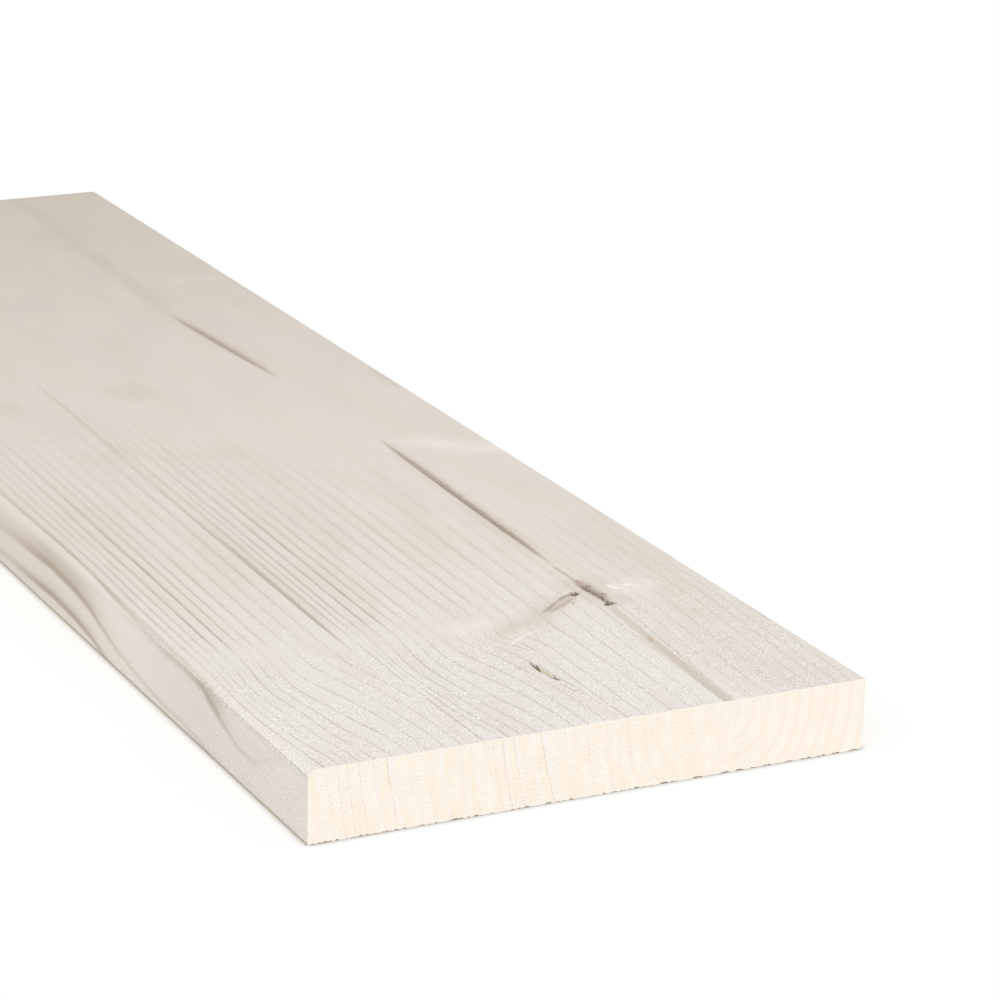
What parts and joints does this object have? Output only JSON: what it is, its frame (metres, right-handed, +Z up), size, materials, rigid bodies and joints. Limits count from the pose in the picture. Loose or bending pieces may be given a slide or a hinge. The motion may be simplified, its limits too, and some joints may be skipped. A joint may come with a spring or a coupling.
{
  "type": "timber lumber plank",
  "caption": "Flat sawn softwood plank with square-cut ends, a rounded upper arris, open pith channels, a knot and a resin pocket; lies flat on its underside.",
  "frame": {"origin": "centre of the underside, on the floor the plank lies on", "axes": "+Z up through the thickness; +Y along the grain, away from the ring end that the picture shows; +X across the width, to the picture's right"},
  "size_m": [0.2, 0.72, 0.025],
  "materials": {
    "sawn_wood": "matte"
  },
  "bodies": {
    "root": {"plank": "sawn_wood"}
  },
  "joints": []
}
